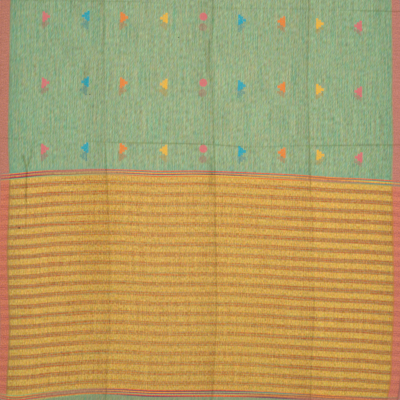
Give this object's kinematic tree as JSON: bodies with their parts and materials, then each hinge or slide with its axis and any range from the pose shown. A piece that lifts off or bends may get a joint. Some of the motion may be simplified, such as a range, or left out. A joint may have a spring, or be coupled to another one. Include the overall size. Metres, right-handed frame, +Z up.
{
  "type": "folded linen sari",
  "caption": "Full-width linen sari folded back and forth and laid flat, with its striped yellow end panel, green field and coral borders on top.",
  "frame": {"origin": "middle of the folded cloth, on the surface that it lies on", "axes": "+Z up out of the top layer, +Y along the warp from the end panel's hem towards the first fold, +X across the loom to the right selvedge as the end panel is seen from its hem"},
  "size_m": [1.1648, 1.4056, 0.0133],
  "materials": {
    "linen": "matt, slightly slubby plain weave"
  },
  "bodies": {
    "root": {"sari_cloth": "linen"}
  },
  "joints": []
}
